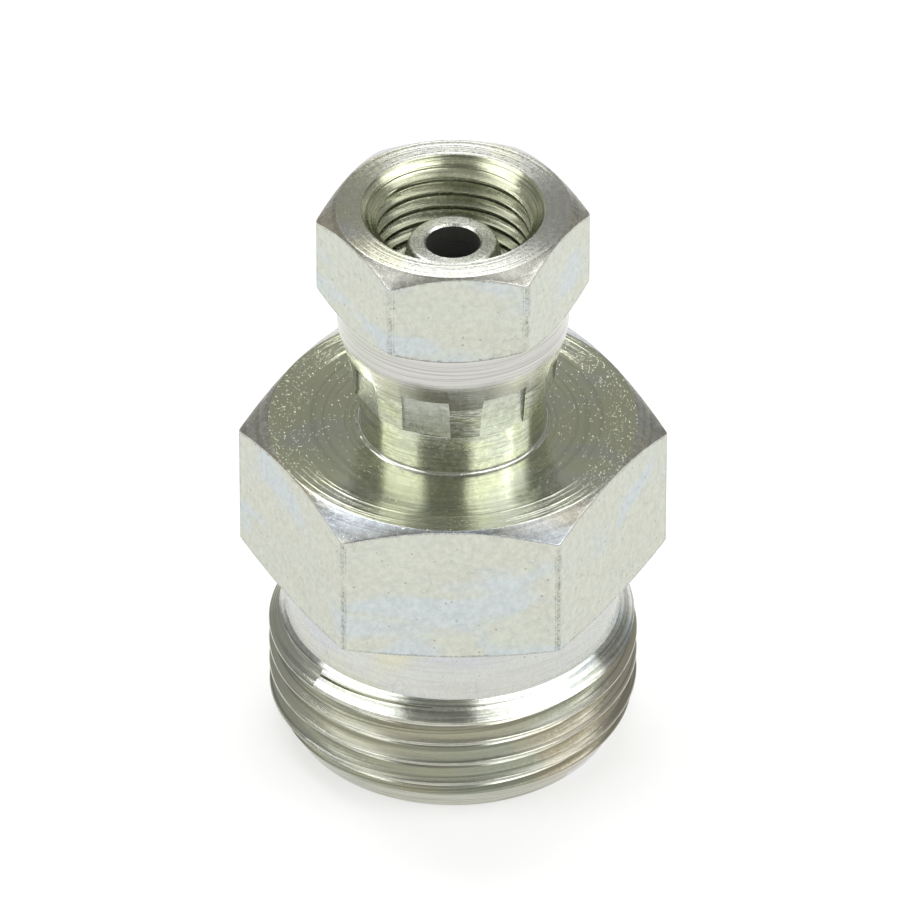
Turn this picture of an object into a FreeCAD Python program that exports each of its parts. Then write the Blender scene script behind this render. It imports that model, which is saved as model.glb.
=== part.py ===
import FreeCAD, Part
import math
import os

# Hydraulic straight adapter: a male thread end joined to a small swivel nut.
# It stands on the end of its male thread. +Z is its axis, and the origin is the centre of
# that end face. The hexagon of the body has two of its corners on the X axis.
# All sizes are in millimetres and degrees. Angles of chamfers are from the face they break.

# Male end, a 22 x 1.5 metric thread with a 24 degree cone seat for a 15 mm tube
MALE_THREAD_DIAMETER = 22.0
MALE_THREAD_END = 7.2
MALE_LEAD_DIAMETER = 19.4
MALE_LEAD_ANGLE = 30.0
RUN_OUT_ANGLE = 45.0
NECK_DIAMETER = 20.0
NECK_CORNER_FILL = 0.4

# Seat and bore inside the male end
SEAT_MOUTH_DIAMETER = 17.0
TUBE_DIAMETER = 15.0
SEAT_HALF_ANGLE = 12.0
TUBE_SOCKET_DEPTH = 7.0
DRILL_DIAMETER = 12.0
DRILL_DEPTH = 17.0
DRILL_POINT_HALF_ANGLE = 59.0
FLOW_BORE_DIAMETER = 3.2

# Large hexagon
BODY_HEX_ACROSS_FLATS = 22.0
BODY_HEX_START = 12.1
BODY_HEX_HEIGHT = 9.3
BODY_HEX_FACE_INSET = 0.08
BODY_HEX_TOP_ANGLE = 28.0
BODY_HEX_LOWER_ANGLE = 16.0

# Stem, crimp groove and collar above the flange face
STEM_DIAMETER = 11.0
STEM_HEIGHT = 2.8
STEM_FILLET = 0.25
STEM_EDGE_BREAK = 0.08
GROOVE_DIAMETER = 9.3
GROOVE_WIDTH = 2.3
COLLAR_DIAMETER = 11.3
COLLAR_WIDTH = 1.8
COLLAR_EDGE_BREAK = 0.25
COLLAR_UNDER_ANGLE = 45.0

# Nose that seals in the mating cone
NOSE_TIP_DIAMETER = 5.2
NOSE_HALF_ANGLE = 12.0
NOSE_LENGTH = 5.1
NOSE_TIP_BREAK = 0.25

# Swivel nut, for a 10 x 1 metric thread
NUT_HEX_ACROSS_FLATS = 14.0
NUT_LENGTH = 12.4
NUT_HEX_HEIGHT = 6.15
NUT_HEX_FACE_INSET = 0.15
NUT_HEX_TOP_ANGLE = 31.5
NUT_HEX_LOWER_ANGLE = 32.5
NUT_THREAD_DIAMETER = 10.0
NUT_THREAD_PITCH = 1.0
COUNTERSINK_DIAMETER = 10.8
COUNTERSINK_ANGLE = 45.0
NUT_REST_TURN = 3.25

# Turned skirt of the nut, and its pressed rim
SKIRT_DIAMETER = 13.64
SKIRT_STRAIGHT = 1.85
PRESSED_HEIGHT = 2.25
PRESSED_TOP_DIAMETER = 12.4
PRESSED_LOW_DIAMETER = 11.9
RIM_EDGE_ROUND = 0.25
SKIRT_BEND_RADIUS = 2.5

# Flats that the jaws of the crimping tool leave round the rim
JAW_COUNT = 8
JAW_WIDTH = 2.9
JAW_FLAT_LOW_DIAMETER = 11.3
JAW_FLAT_TILT = 2.0
JAW_PHASE = 27.0

# Clearances of the swivel
SWIVEL_CLEARANCE = 0.08
RIM_CLEARANCE = 0.12
NUT_END_GAP = 0.15
COLLAR_TOP_GAP = 0.3

# Heights of the body, from the values above
FLANGE = BODY_HEX_START + BODY_HEX_HEIGHT
SHOULDER = FLANGE + STEM_HEIGHT
COLLAR_LOW = SHOULDER + GROOVE_WIDTH + (COLLAR_DIAMETER - GROOVE_DIAMETER) / 2 * math.tan(
    math.radians(COLLAR_UNDER_ANGLE)
)
COLLAR_TOP = COLLAR_LOW + COLLAR_WIDTH
NOSE_TIP = COLLAR_TOP + NOSE_LENGTH

# Heights of the nut
NUT_LOW = SHOULDER + NUT_END_GAP
NUT_TOP = NUT_LOW + NUT_LENGTH
NUT_HEX_LOW = NUT_TOP - NUT_HEX_HEIGHT
PRESSED_TOP = NUT_LOW + PRESSED_HEIGHT

AXIS_START = FreeCAD.Vector(0, 0, 0)
UP = FreeCAD.Vector(0, 0, 1)


def rise(run, angle):
    """Height gained over a run at an angle from the level."""
    return run * math.tan(math.radians(angle))


def turned(points):
    """Solid turned about the axis from a closed outline of (radius, height) points."""
    corners = [FreeCAD.Vector(radius, 0, height) for radius, height in points]
    outline = Part.makePolygon(corners + corners[:1])
    return Part.Face(outline).revolve(AXIS_START, UP, 360)


def circles(solid, radius, height):
    """Edges of a solid that are circles about the axis with this radius and height."""
    found = []
    for edge in solid.Edges:
        if not isinstance(edge.Curve, Part.Circle):
            continue
        centre = edge.Curve.Center
        same_size = abs(edge.Curve.Radius - radius) < 1e-6
        if same_size and abs(centre.z - height) < 1e-6 and math.hypot(centre.x, centre.y) < 1e-6:
            found.append(edge)
    return found


def hexagon(across_flats, low, high, inset, lower_angle, top_angle):
    """Hexagonal bar between two heights, with both ends turned off to a cone."""
    corner_radius = across_flats / math.sqrt(3)
    corners = [
        FreeCAD.Vector(
            corner_radius * math.cos(math.radians(60 * k)),
            corner_radius * math.sin(math.radians(60 * k)),
            low,
        )
        for k in range(6)
    ]
    bar = Part.Face(Part.makePolygon(corners + corners[:1])).extrude(UP * (high - low))
    face_radius = across_flats / 2 - inset
    beyond = corner_radius * 1.1
    envelope = turned(
        [
            (0, low),
            (face_radius, low),
            (beyond, low + rise(beyond - face_radius, lower_angle)),
            (beyond, high - rise(beyond - face_radius, top_angle)),
            (face_radius, high),
            (0, high),
        ]
    )
    return bar.common(envelope)


def male_end():
    """Plain form of the male thread with its lead, run-out and neck, up into the hexagon."""
    lead_radius = MALE_LEAD_DIAMETER / 2
    thread_radius = MALE_THREAD_DIAMETER / 2
    neck_radius = NECK_DIAMETER / 2
    lead_top = (thread_radius - lead_radius) / math.tan(math.radians(MALE_LEAD_ANGLE))
    neck_low = MALE_THREAD_END + rise(thread_radius - neck_radius, RUN_OUT_ANGLE)
    inside_hexagon = BODY_HEX_START + BODY_HEX_HEIGHT / 2
    return turned(
        [
            (0, 0),
            (lead_radius, 0),
            (thread_radius, lead_top),
            (thread_radius, MALE_THREAD_END),
            (neck_radius, neck_low),
            (neck_radius, BODY_HEX_START - NECK_CORNER_FILL),
            (neck_radius + NECK_CORNER_FILL, BODY_HEX_START),
            (neck_radius + NECK_CORNER_FILL, inside_hexagon),
            (0, inside_hexagon),
        ]
    )


def swivel_end():
    """Stem, crimp groove, collar and sealing nose, from inside the hexagon up."""
    stem = STEM_DIAMETER / 2
    groove = GROOVE_DIAMETER / 2
    collar = COLLAR_DIAMETER / 2
    tip = NOSE_TIP_DIAMETER / 2
    nose_foot = tip + (NOSE_LENGTH - NOSE_TIP_BREAK) * math.tan(math.radians(NOSE_HALF_ANGLE))
    return turned(
        [
            (0, BODY_HEX_START + BODY_HEX_HEIGHT / 2),
            (stem, BODY_HEX_START + BODY_HEX_HEIGHT / 2),
            (stem, SHOULDER - STEM_EDGE_BREAK),
            (stem - STEM_EDGE_BREAK, SHOULDER),
            (groove, SHOULDER),
            (groove, SHOULDER + GROOVE_WIDTH),
            (collar, COLLAR_LOW),
            (collar, COLLAR_TOP - COLLAR_EDGE_BREAK),
            (collar - COLLAR_EDGE_BREAK, COLLAR_TOP),
            (nose_foot, COLLAR_TOP),
            (tip, NOSE_TIP - NOSE_TIP_BREAK),
            (tip - NOSE_TIP_BREAK, NOSE_TIP),
            (0, NOSE_TIP),
        ]
    )


def body_bore():
    """Cone seat, tube socket, drilled bore with its point, and the small flow bore."""
    mouth = SEAT_MOUTH_DIAMETER / 2
    socket = TUBE_DIAMETER / 2
    drill = DRILL_DIAMETER / 2
    flow = FLOW_BORE_DIAMETER / 2
    cone_depth = (mouth - socket) / math.tan(math.radians(SEAT_HALF_ANGLE))
    point_top = DRILL_DEPTH + (drill - flow) / math.tan(math.radians(DRILL_POINT_HALF_ANGLE))
    return turned(
        [
            (0, 0),
            (mouth, 0),
            (socket, cone_depth),
            (socket, TUBE_SOCKET_DEPTH),
            (drill, TUBE_SOCKET_DEPTH),
            (drill, DRILL_DEPTH),
            (flow, point_top),
            (flow, NOSE_TIP),
            (0, NOSE_TIP),
        ]
    )


def adapter_body():
    """The whole one-piece body of the adapter."""
    hexagon_part = hexagon(
        BODY_HEX_ACROSS_FLATS,
        BODY_HEX_START,
        FLANGE,
        BODY_HEX_FACE_INSET,
        BODY_HEX_LOWER_ANGLE,
        BODY_HEX_TOP_ANGLE,
    )
    body = hexagon_part.fuse([male_end(), swivel_end()]).removeSplitter()
    body = body.makeFillet(STEM_FILLET, circles(body, STEM_DIAMETER / 2, FLANGE))
    return body.cut(body_bore())


def nut_skirt():
    """Turned skirt below the nut's hexagon, drawn in to the pressed rim."""
    skirt = SKIRT_DIAMETER / 2
    pressed_top = PRESSED_TOP_DIAMETER / 2
    pressed_low = PRESSED_LOW_DIAMETER / 2
    inside_hexagon = NUT_HEX_LOW + NUT_HEX_HEIGHT / 2
    straight_low = NUT_HEX_LOW - SKIRT_STRAIGHT
    form = turned(
        [
            (0, NUT_LOW),
            (pressed_low, NUT_LOW),
            (pressed_top, PRESSED_TOP),
            (skirt, straight_low),
            (skirt, inside_hexagon),
            (0, inside_hexagon),
        ]
    )
    form = form.makeFillet(RIM_EDGE_ROUND, circles(form, pressed_low, NUT_LOW))
    return form.makeFillet(
        SKIRT_BEND_RADIUS,
        circles(form, skirt, straight_low) + circles(form, pressed_top, PRESSED_TOP),
    )


def nut_bore():
    """Countersink, thread at its minor diameter, room for the collar, and pressed-in rim."""
    countersink = COUNTERSINK_DIAMETER / 2
    thread = (NUT_THREAD_DIAMETER - NUT_THREAD_PITCH) / 2
    chamber = COLLAR_DIAMETER / 2 + SWIVEL_CLEARANCE
    rim = GROOVE_DIAMETER / 2 + RIM_CLEARANCE
    rim_top = SHOULDER + GROOVE_WIDTH - RIM_CLEARANCE
    chamber_low = rim_top + rise(chamber - rim, COLLAR_UNDER_ANGLE)
    chamber_top = COLLAR_TOP + COLLAR_TOP_GAP
    return turned(
        [
            (0, NUT_LOW),
            (rim, NUT_LOW),
            (rim, rim_top),
            (chamber, chamber_low),
            (chamber, chamber_top),
            (thread, chamber_top),
            (thread, NUT_TOP - rise(countersink - thread, COUNTERSINK_ANGLE)),
            (countersink, NUT_TOP),
            (0, NUT_TOP),
        ]
    )


def jaw_cut(angle):
    """Block that takes one jaw's flat off the rim, at an angle round the axis."""
    depth = SKIRT_DIAMETER / 2
    block = Part.makeBox(depth, JAW_WIDTH, 2 * PRESSED_HEIGHT)
    block.translate(FreeCAD.Vector(0, -JAW_WIDTH / 2, -PRESSED_HEIGHT))
    block.rotate(AXIS_START, FreeCAD.Vector(0, 1, 0), JAW_FLAT_TILT)
    block.translate(FreeCAD.Vector(JAW_FLAT_LOW_DIAMETER / 2, 0, NUT_LOW))
    block.rotate(AXIS_START, UP, angle)
    return block


def swivel_nut():
    """The whole one-piece swivel nut, at its rest turn about the body."""
    hexagon_part = hexagon(
        NUT_HEX_ACROSS_FLATS,
        NUT_HEX_LOW,
        NUT_TOP,
        NUT_HEX_FACE_INSET,
        NUT_HEX_LOWER_ANGLE,
        NUT_HEX_TOP_ANGLE,
    )
    jaws = [jaw_cut(JAW_PHASE + 360 / JAW_COUNT * k) for k in range(JAW_COUNT)]
    nut = hexagon_part.fuse(nut_skirt().cut(jaws)).removeSplitter()
    nut = nut.cut(nut_bore())
    nut.rotate(AXIS_START, UP, NUT_REST_TURN)
    return nut


os.makedirs("parts", exist_ok=True)
NODES = {"adapter_body": adapter_body(), "swivel_nut": swivel_nut()}
for name, shape in NODES.items():
    solid = shape.Solids[0] if len(shape.Solids) == 1 else shape
    solid.exportStep(os.path.join("parts", name + ".step"))
    box = solid.BoundBox
    print(
        name,
        "solids", len(shape.Solids),
        "valid", solid.isValid(),
        "volume %.1f" % solid.Volume,
        "z %.2f to %.2f" % (box.ZMin, box.ZMax),
    )
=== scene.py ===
import math

import bmesh
import bpy
from mathutils import Matrix, Vector


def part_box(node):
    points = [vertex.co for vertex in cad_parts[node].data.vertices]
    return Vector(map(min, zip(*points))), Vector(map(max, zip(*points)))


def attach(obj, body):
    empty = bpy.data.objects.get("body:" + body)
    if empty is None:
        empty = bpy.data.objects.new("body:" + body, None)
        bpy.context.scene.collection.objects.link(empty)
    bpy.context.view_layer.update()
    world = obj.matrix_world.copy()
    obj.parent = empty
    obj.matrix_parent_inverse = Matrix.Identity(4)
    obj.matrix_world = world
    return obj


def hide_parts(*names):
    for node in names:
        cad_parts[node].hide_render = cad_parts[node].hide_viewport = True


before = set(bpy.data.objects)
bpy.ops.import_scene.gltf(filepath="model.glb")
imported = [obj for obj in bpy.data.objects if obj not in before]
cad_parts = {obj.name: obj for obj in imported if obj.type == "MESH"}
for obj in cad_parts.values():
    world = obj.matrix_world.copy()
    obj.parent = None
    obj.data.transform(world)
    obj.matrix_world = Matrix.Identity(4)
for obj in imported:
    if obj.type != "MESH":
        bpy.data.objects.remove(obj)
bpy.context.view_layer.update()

# Looks of a hydraulic straight adapter: a turned body with a male thread, and a crimped swivel nut.
# Pieces are shaped in millimetres and brought to metres at the end, so lengths here are in mm
# and angles in degrees. The axis of the adapter is Z, and it stands on z = 0.

MM = 0.001
BODY_TOP_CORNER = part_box("adapter_body")[1]
NUT_LOW_CORNER, NUT_TOP_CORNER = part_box("swivel_nut")

# How finely round forms are divided
BODY_STEPS = 264
BORE_STEPS = 132
NUT_STEPS = 216
FILL_STEP = 1.3
ARC_STEP = 14.0
CORNER_SEGMENTS = 5
EDGE_SEGMENTS = 4

# Points nearer to each other than this become one
WELD = 1e-3
FINE_WELD = 1e-5
CUT_WELD = 1e-6

# How far a solid that cuts or joins reaches past the place where it works
BEYOND = 1.0
PAST_EDGE = 0.5
PAST_CREST = 0.3
PAST_WALL = 0.1
SPARE_TURNS = 2
REACH_PER_FLATS = 0.65

# Teeth of the threads, with crest flats as a share of the pitch. Softened corners are points of
# (shift along the thread, distance from the crest or root): shifts are shares of the crest's
# half flat at a crest, and shares of the pitch from the foot of the flank at a root.
THREAD_FLANK_ANGLE = 30.0
MALE_CREST_FLAT = 0.1
MALE_CREST_CORNER = ((0.6, 0.0), (1.15, 0.03))
MALE_ROOT_CORNER = ((-0.045, 0.09), (0.02, 0.02))
FEMALE_CREST_FLAT = 0.25
FEMALE_CREST_CORNER = ((0.8, 0.0), (1.2, 0.02))
FEMALE_ROOT_CORNER = ((-0.03, 0.06), (0.04, 0.0))

# Male end
MALE_MAJOR = 22.0
MALE_PITCH = 1.5
MALE_DEPTH = 0.92
MALE_THREAD_END = 7.2
MALE_LEAD_DIAMETER = 19.4
MALE_LEAD_ANGLE = 30.0
MALE_LEAD_ROUND = 0.08
MALE_CREST_AT_FRONT = 7.148
MALE_ROD_HIGH = 10.0
MALE_JOIN_DIAMETER = 19.0
MALE_JOIN_HIGH = 9.4
NECK_DIAMETER = 20.0
NECK_CORNER_FILL = 0.4
NECK_CORNER_ROUND = 0.3

# Where the tool draws back from the male thread: azimuths from the front, then the half height
# and the floor radius of the slot that it leaves
RUN_OUT_START = -48.0
RUN_OUT_END = -6.0
RUN_OUT_OVERLAP = 1.0
FILLED_END = 250.0
RUN_OUT_SLOT = 0.06
RUN_OUT_FLOOR = 10.33
FILL_BELOW_CREST = 0.005

# Bore of the body
SEAT_MOUTH_DIAMETER = 17.0
TUBE_DIAMETER = 15.0
SEAT_HALF_ANGLE = 12.0
TUBE_SOCKET_DEPTH = 7.0
DRILL_DIAMETER = 12.0
DRILL_DEPTH = 17.0
DRILL_POINT_HALF_ANGLE = 59.0
FLOW_BORE_DIAMETER = 3.2
FLOW_BORE_CHAMFER = 0.12

# Half the turn from one flat of a hexagon to the next
HEXAGON_HALF_TURN = 30.0

# Large hexagon
BODY_AF = 22.0
BODY_HEX_LOW = 12.1
BODY_HEX_HIGH = 21.4
BODY_FACE_INSET = 0.08
BODY_TOP_ANGLE = 28.0
BODY_LOWER_ANGLE = 16.0
BODY_CORNER_ROUND = 0.3

# Stem, groove, collar and nose
STEM_DIAMETER = 11.0
STEM_FOOT = 1.2
STEM_FILLET = 0.28
SHOULDER = 24.2
SHOULDER_ROUND = 0.08
GROOVE_DIAMETER = 9.3
COLLAR_LOW = 27.5
COLLAR_HIGH = 29.3
COLLAR_DIAMETER = 11.3
COLLAR_ROUND = 0.2
NOSE_TIP = BODY_TOP_CORNER.z / MM
NOSE_TIP_DIAMETER = 5.2
NOSE_HALF_ANGLE = 12.0
NOSE_TIP_ROUND = 0.3

# Swivel nut
NUT_AF = 14.0
NUT_LOW = NUT_LOW_CORNER.z / MM
NUT_HIGH = NUT_TOP_CORNER.z / MM
NUT_HEX_LOW = 30.6
NUT_FACE_INSET = 0.15
NUT_TOP_ANGLE = 31.5
NUT_LOWER_ANGLE = 32.5
NUT_CORNER_ROUND = 0.45
NUT_REST_TURN = 3.25
FEMALE_MAJOR = 10.0
FEMALE_MINOR = 9.0
FEMALE_PITCH = 1.0
FEMALE_CREST_AT_FRONT = 35.1
TAP_PAST_HOLE = 0.01
TAP_PAST_CHAMBER = 0.2
COUNTERSINK_DIAMETER = 10.8
CHAMBER_DIAMETER = 11.46
CHAMBER_HIGH = 29.6
CHAMBER_LOW = 27.34
RIM_DIAMETER = 9.54
RIM_HIGH = 26.38

# Skirt of the nut and the flats that the crimping jaws leave
SKIRT_DIAMETER = 13.64
SKIRT_STRAIGHT_LOW = 28.75
PRESSED_HIGH = 26.6
PRESSED_TOP_DIAMETER = 12.4
PRESSED_LOW_DIAMETER = 11.9
RIM_EDGE_ROUND = 0.25
SKIRT_BEND = 2.5
JAW_COUNT = 8
JAW_WIDTH = 2.9
JAW_DEPTH = 3.0
JAW_FLAT_LOW_DIAMETER = 11.3
JAW_FLAT_TILT = 2.0
JAW_PHASE = 27.0
JAW_HIGH = 27.3

# Edges that a tool leaves, and the least turn at which each kind is broken or shaded sharp
MILLED_EDGE = 0.06
MILLED_TURN = 40.0
PRESSED_EDGE = 0.04
PRESSED_TURN = 30.0
TURNED_EDGE = 0.05
SHARP_TURN = 22.0

# Worn lines along the edges of the drawn flats
FLAT_AREA = 20.0
LEVEL_TURN = 0.3
BODY_WORN_WIDTH = 0.3
NUT_WORN_WIDTH = 0.27
BODY_CORNER_WEAR = 0.9
NUT_CORNER_WEAR = 0.8
WEAR_BESIDE_FLAT = 0.4
LEAST_LENGTH_KEPT = 0.1

# How zones are told apart, by margins and by how much a face looks up or down
NEAR = 0.02
CREST_DROP = 0.04
SINK_MARGIN = 0.3
JAW_FLAT_AREA = 1.45
FACES_IN = 0.05
UPRIGHT = 0.05
STEEP = 0.3
LEVEL = 0.98
SLANT = math.sqrt(0.5)

# Rings, crystals and tints of the finishes; SMOOTHEST and ROUGHEST are shares of a roughness
DEEP_RINGS_WITHIN = 0.6
DEEP_RINGS_END = 1.1
DEEP_RINGS_SPARKLE = 0.25
FINE_RING_SHARE = 0.35
MIDDLE_COLOUR = (0.5, 0.5, 0.5)
OTHER_CELLS = (3.1, 7.7, 1.3)
OTHER_PATCHES = (31.0, 17.0, 5.0)
PATCH_STRETCH = (0.5, 0.5, 1.2)
SMOOTHEST = 0.85
ROUGHEST = 1.2
QUARTER_TURN = 0.25
TANGENT_SPACE = (0.02, 0.02, 0.04)

# Pits, cracks and worn edges
PIT_CELLS_PER_METRE = 3000.0
PIT_LEAST = 0.14
PIT_RAGGED = 0.5
PIT_DARKNESS = 0.35
CRACK_BEND = (2.5, 2.5, 2.5)
WEAR_DOTS_PER_METRE = 5000.0
WEAR_WEIGHT = 1.4
WEAR_RAGGED = 1.5

# Camera, fitted to the photograph of 900 pixels a side
CAMERA_ELEVATION = 36.8965
CAMERA_AZIMUTH = 0.6774
CAMERA_DISTANCE = 733.0
CAMERA_TARGET_SIDE = -0.1752
CAMERA_TARGET_HEIGHT = 19.1174
CAMERA_NEAREST = 10.0
CAMERA_FARTHEST = 50000.0
FOCAL_PIXELS = 12396.8
SENSOR_WIDTH = 36.0
PHOTO_WIDTH = 900

# Floor and room: lengths in metres, greys as shares of white, directions as parts of a unit ray
FLOOR_REACH = 3
FLOOR_GREY = 0.5
FLOOR_GLOW = 0.5
HORIZON_LOW = 0.02
HORIZON_HIGH = 0.14
FRONT_START = -0.6
FRONT_FULL = -0.85
ROOM = (0.35, 0.35, 0.33)
LAMP_AIM_HEIGHT = 0.018


# Modelling

def tangent(angle):
    """Tangent of an angle in degrees."""
    return math.tan(math.radians(angle))


def outline(corners):
    """Points of an outline of (radius, height) corners, where a third value rounds a corner."""
    points = []
    for k, corner in enumerate(corners):
        here = Vector(corner[:2])
        if len(corner) < 3:
            points.append(here)
            continue
        back = (Vector(corners[k - 1][:2]) - here).normalized()
        on = (Vector(corners[k + 1][:2]) - here).normalized()
        turn = math.pi - back.angle(on)
        reach = corner[2] * math.tan(turn / 2)
        centre = here + (back + on).normalized() * (corner[2] / math.cos(turn / 2))
        start = here + back * reach - centre
        way = 1 if start.cross(here + on * reach - centre) > 0 else -1
        count = max(2, math.ceil(math.degrees(turn) / ARC_STEP))
        for step in range(count + 1):
            rotation = Matrix.Rotation(way * turn * step / count, 2)
            points.append(centre + rotation @ start)
    return points


def new_object(name, bm):
    """Object at the origin with the mesh that was shaped."""
    mesh = bpy.data.meshes.new(name)
    bm.to_mesh(mesh)
    bm.free()
    piece = bpy.data.objects.new(name, mesh)
    bpy.context.scene.collection.objects.link(piece)
    return piece


def rotate(bm, verts, angle, axis):
    """Turns points about an axis through the origin."""
    bmesh.ops.rotate(
        bm, verts=verts, cent=(0, 0, 0), matrix=Matrix.Rotation(math.radians(angle), 3, axis)
    )


def turned(name, corners, steps):
    """Closed solid turned about Z from an outline that starts and ends on the axis."""
    bm = bmesh.new()
    verts = [bm.verts.new((point.x, 0, point.y)) for point in outline(corners)]
    edges = [bm.edges.new(pair) for pair in zip(verts, verts[1:])]
    bmesh.ops.spin(
        bm, geom=verts + edges, cent=(0, 0, 0), axis=(0, 0, 1), dvec=(0, 0, 0),
        angle=math.tau, steps=steps, use_merge=True,
    )
    bmesh.ops.remove_doubles(bm, verts=bm.verts, dist=FINE_WELD)
    bmesh.ops.recalc_face_normals(bm, faces=bm.faces)
    return new_object(name, bm)


def threaded_rod(name, tooth, pitch, low, high, phase, steps):
    """Rod with a right-hand thread between two flat ends.

    tooth is a list of (radius, share of the pitch) from one crest up to the next, and phase is
    the height of a crest at the front, on the side of -Y.
    """
    bm = bmesh.new()
    first = math.floor((low - phase) / pitch) - SPARE_TURNS
    last = math.ceil((high - phase) / pitch) + SPARE_TURNS
    verts = [
        bm.verts.new((0, -radius, phase + (turn + share) * pitch))
        for turn in range(first, last)
        for radius, share in tooth
    ]
    edges = [bm.edges.new(pair) for pair in zip(verts, verts[1:])]
    bmesh.ops.spin(
        bm, geom=verts + edges, cent=(0, 0, 0), axis=(0, 0, 1), dvec=(0, 0, pitch / steps),
        angle=math.tau, steps=steps,
    )
    bmesh.ops.remove_doubles(bm, verts=bm.verts, dist=WELD)
    for height, outward in ((low, -1), (high, 1)):
        cut = bmesh.ops.bisect_plane(
            bm, geom=bm.verts[:] + bm.edges[:] + bm.faces[:], dist=CUT_WELD,
            plane_co=(0, 0, height), plane_no=(0, 0, outward), clear_outer=True,
        )
        rim = [entry for entry in cut["geom_cut"] if isinstance(entry, bmesh.types.BMEdge)]
        bmesh.ops.contextual_create(bm, geom=rim)
    bmesh.ops.recalc_face_normals(bm, faces=bm.faces)
    return new_object(name, bm)


def hexagon_bar(name, across_flats, low, high, corner_round):
    """Hexagonal bar with rounded corners, two of them on X."""
    bm = bmesh.new()
    bmesh.ops.create_circle(bm, cap_ends=True, radius=across_flats / math.sqrt(3), segments=6)
    rotate(bm, bm.verts, HEXAGON_HALF_TURN, "Z")
    bmesh.ops.translate(bm, verts=bm.verts, vec=(0, 0, low))
    grown = bmesh.ops.extrude_face_region(bm, geom=bm.faces[:])
    moved = [entry for entry in grown["geom"] if isinstance(entry, bmesh.types.BMVert)]
    bmesh.ops.translate(bm, verts=moved, vec=(0, 0, high - low))
    upright = [
        edge for edge in bm.edges
        if abs(edge.verts[0].co.z - edge.verts[1].co.z) > (high - low) / 2
    ]
    bmesh.ops.bevel(
        bm, geom=upright, offset=corner_round * tangent(HEXAGON_HALF_TURN), offset_type="OFFSET",
        affect="EDGES", segments=CORNER_SEGMENTS, profile=0.5, material=-1,
    )
    bmesh.ops.recalc_face_normals(bm, faces=bm.faces)
    return new_object(name, bm)


def applied(piece):
    """Gives a piece the mesh that its modifiers make."""
    bpy.context.view_layer.update()
    depsgraph = bpy.context.evaluated_depsgraph_get()
    mesh = bpy.data.meshes.new_from_object(piece.evaluated_get(depsgraph))
    piece.modifiers.clear()
    old = piece.data
    piece.data = mesh
    bpy.data.meshes.remove(old)


def combined(piece, operation, *others):
    """Joins, cuts or intersects a piece with others, which are used up."""
    for other in others:
        modifier = piece.modifiers.new(operation.lower(), "BOOLEAN")
        modifier.operation = operation
        modifier.solver = "MANIFOLD"
        modifier.object = other
        applied(piece)
        bpy.data.objects.remove(other)
    return piece


def break_edges(piece, width, least_turn):
    """Rounds the edges of a piece that turn by more than an angle."""
    bm = bmesh.new()
    bm.from_mesh(piece.data)
    bmesh.ops.remove_doubles(bm, verts=bm.verts, dist=WELD)
    sharp = [
        edge for edge in bm.edges
        if len(edge.link_faces) == 2 and edge.calc_face_angle() > math.radians(least_turn)
    ]
    bmesh.ops.bevel(
        bm, geom=sharp, offset=width, offset_type="OFFSET", affect="EDGES",
        segments=EDGE_SEGMENTS, profile=0.5, material=-1, clamp_overlap=True,
    )
    bm.to_mesh(piece.data)
    bm.free()
    return piece


def hexagon(name, across_flats, low, high, inset, lower_angle, top_angle, corner_round, steps):
    """Hexagon with both ends turned off to a cone, and its edges lightly broken."""
    bar = hexagon_bar(name, across_flats, low - BEYOND, high + BEYOND, corner_round)
    face = across_flats / 2 - inset
    outside = across_flats * REACH_PER_FLATS
    envelope = turned(
        "envelope",
        [
            (0, low),
            (face, low, TURNED_EDGE),
            (outside, low + (outside - face) * tangent(lower_angle)),
            (outside, high - (outside - face) * tangent(top_angle)),
            (face, high, 2 * TURNED_EDGE),
            (0, high),
        ],
        steps,
    )
    combined(bar, "INTERSECT", envelope)
    return break_edges(bar, MILLED_EDGE, MILLED_TURN)


def tooth_outline(crest, root, pitch, crest_flat, crest_corner, root_corner, root_middle):
    """Outline of a thread from the middle of one crest to the middle of the next."""
    way = 1 if root > crest else -1
    flat = crest_flat / 2
    foot = flat + abs(root - crest) * tangent(THREAD_FLANK_ANGLE) / pitch
    half = [(crest + way * depth, flat * share) for share, depth in crest_corner]
    half += [(root - way * height, foot + share) for share, height in root_corner]
    other_half = [(radius, 1 - share) for radius, share in reversed(half)]
    return [(crest, 0)] + half + root_middle + other_half


def male_tooth():
    """Tooth of the male thread, with a rounded root."""
    crest = MALE_MAJOR / 2
    root = crest - MALE_DEPTH
    return tooth_outline(
        crest, root, MALE_PITCH, MALE_CREST_FLAT, MALE_CREST_CORNER, MALE_ROOT_CORNER, [(root, 0.5)]
    )


def female_tooth():
    """Tooth of the tap that cuts the nut; its crest is the crest of the nut's thread."""
    return tooth_outline(
        FEMALE_MINOR / 2, FEMALE_MAJOR / 2, FEMALE_PITCH,
        FEMALE_CREST_FLAT, FEMALE_CREST_CORNER, FEMALE_ROOT_CORNER, [],
    )


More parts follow.
